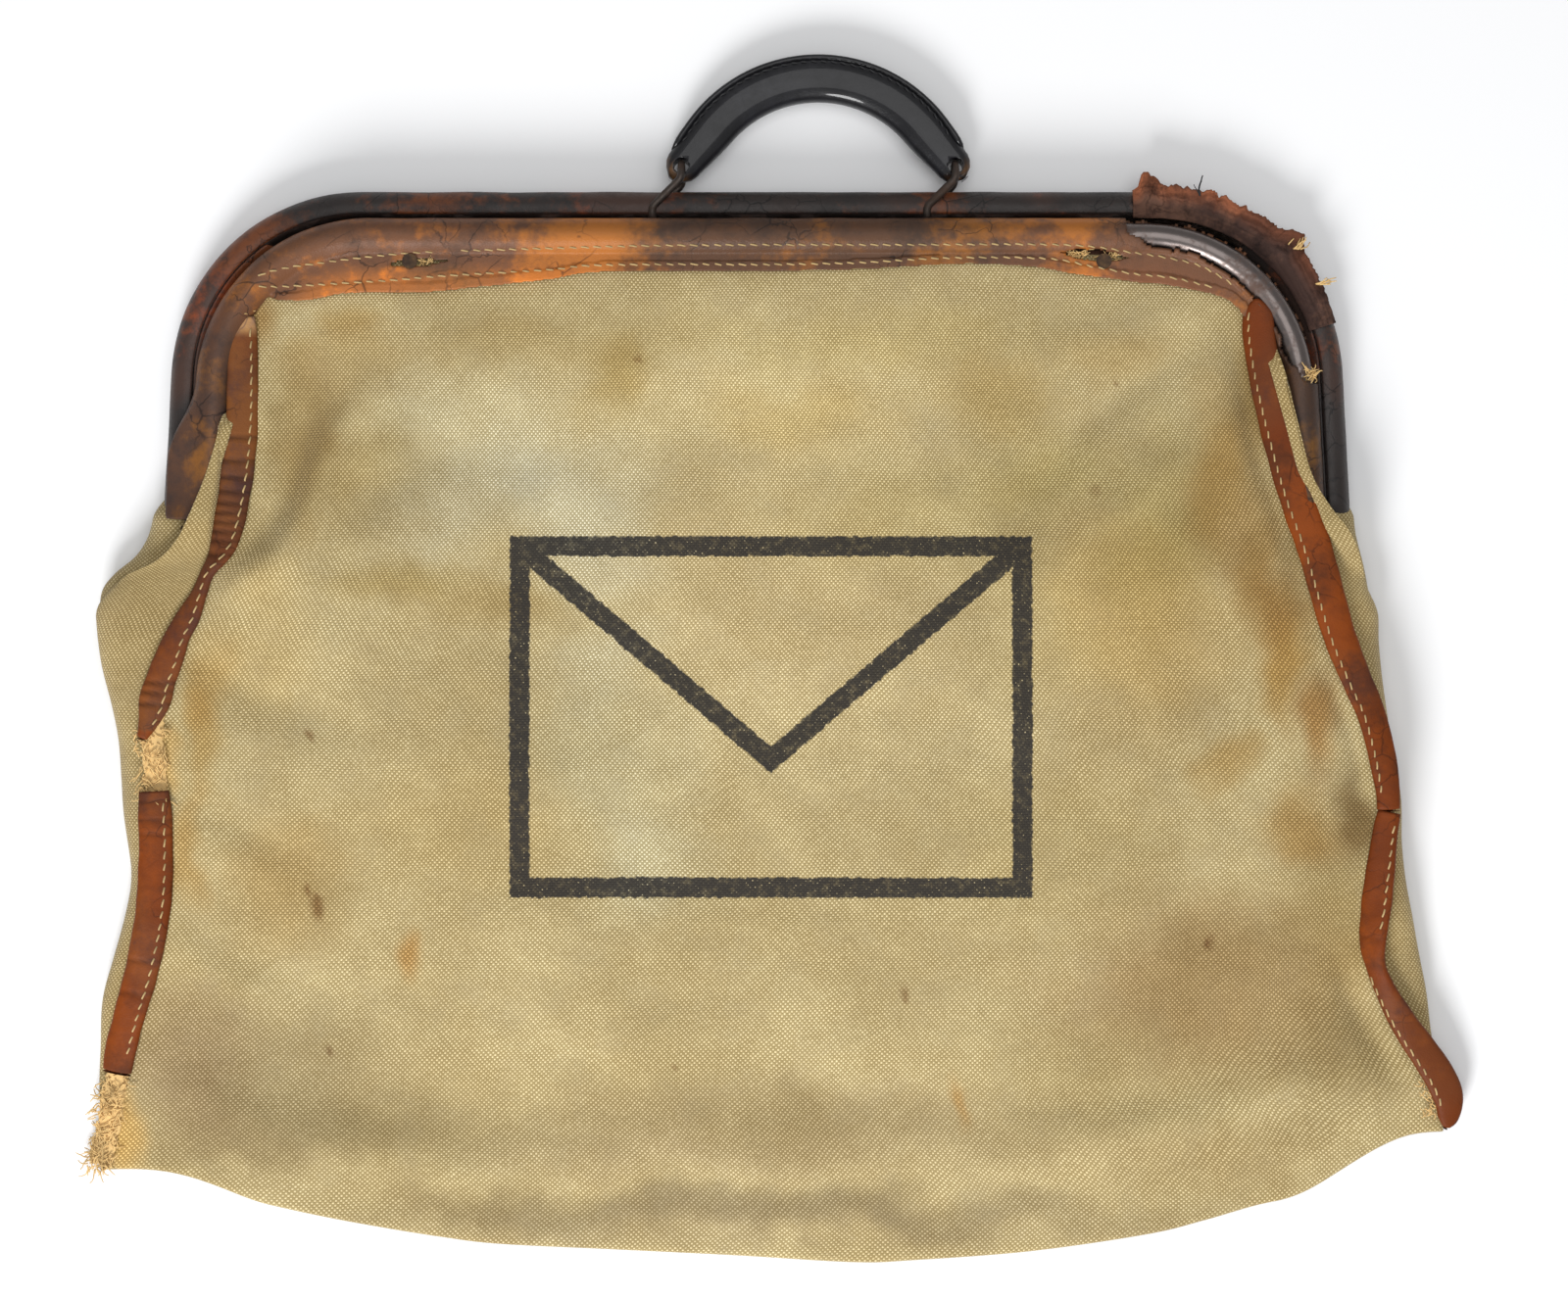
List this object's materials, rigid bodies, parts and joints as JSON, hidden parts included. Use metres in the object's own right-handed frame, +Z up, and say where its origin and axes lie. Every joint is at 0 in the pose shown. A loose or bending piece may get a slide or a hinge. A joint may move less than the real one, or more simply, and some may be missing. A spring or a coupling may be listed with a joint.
{
  "type": "mail sack",
  "caption": "Canvas collection sack lying on its back, with a leather-covered steel frame of two hinged jaws that open its mouth and a curved leather grip on wire rings.",
  "frame": {"origin": "middle of the sack's outline, on the surface its back lies on", "axes": "+X across the sack, +Y from its bottom fold towards the grip, +Z up out of its front panel"},
  "size_m": [0.5888, 0.5159, 0.038],
  "materials": {
    "steel": "worn dark steel",
    "brown_leather": "worn, cracked",
    "canvas": "plain weave, stained",
    "brass": "tarnished",
    "black_leather": "worn satin",
    "grip_filling": "raw"
  },
  "bodies": {
    "sack": {"rear_jaw": "steel", "rear_hinge_plates": "steel", "hinge_pins": "steel", "hinge_washers": "steel", "rear_jaw_leather": "brown_leather", "front_panel": "canvas", "back_panel": "canvas", "left_gusset": "canvas", "right_gusset": "canvas", "left_gusset_fold": "canvas", "right_gusset_fold": "canvas", "left_front_binding": "brown_leather", "right_front_binding": "brown_leather", "left_back_binding": "brown_leather", "right_back_binding": "brown_leather"},
    "front_frame": {"front_jaw": "steel", "front_hinge_plates": "steel", "front_jaw_leather": "brown_leather", "skirt_rivets": "brass", "front_panel_top": "canvas", "left_front_binding_top": "brown_leather", "right_front_binding_top": "brown_leather"},
    "left_handle_ring": {"left_ring": "steel"},
    "right_handle_ring": {"right_ring": "steel"},
    "grip": {"grip_core": "grip_filling", "grip_leather": "black_leather"}
  },
  "joints": [
    {"name": "jaw_open", "type": "hinge", "parent": "sack", "child": "front_frame", "pos_m": [0, 0.05402, 0.0165], "axis": [1, 0, 0], "range_deg": [0, 85]},
    {"name": "left_ring_swing", "type": "hinge", "parent": "sack", "child": "left_handle_ring", "pos_m": [0, 0.19248, 0.0105], "axis": [1, 0, 0], "range_deg": [-60, 48]},
    {"name": "right_ring_swing", "type": "hinge", "parent": "sack", "child": "right_handle_ring", "pos_m": [0, 0.19248, 0.0105], "axis": [1, 0, 0], "range_deg": [-60, 48]},
    {"name": "grip_pivot", "type": "hinge", "parent": "left_handle_ring", "child": "grip", "pos_m": [0, 0.20486, 0.00979], "axis": [1, 0, 0], "range_deg": [-40, 40]}
  ],
  "couplings": [
    {"joint": "right_ring_swing", "follows": "left_ring_swing", "ratio": 1}
  ]
}
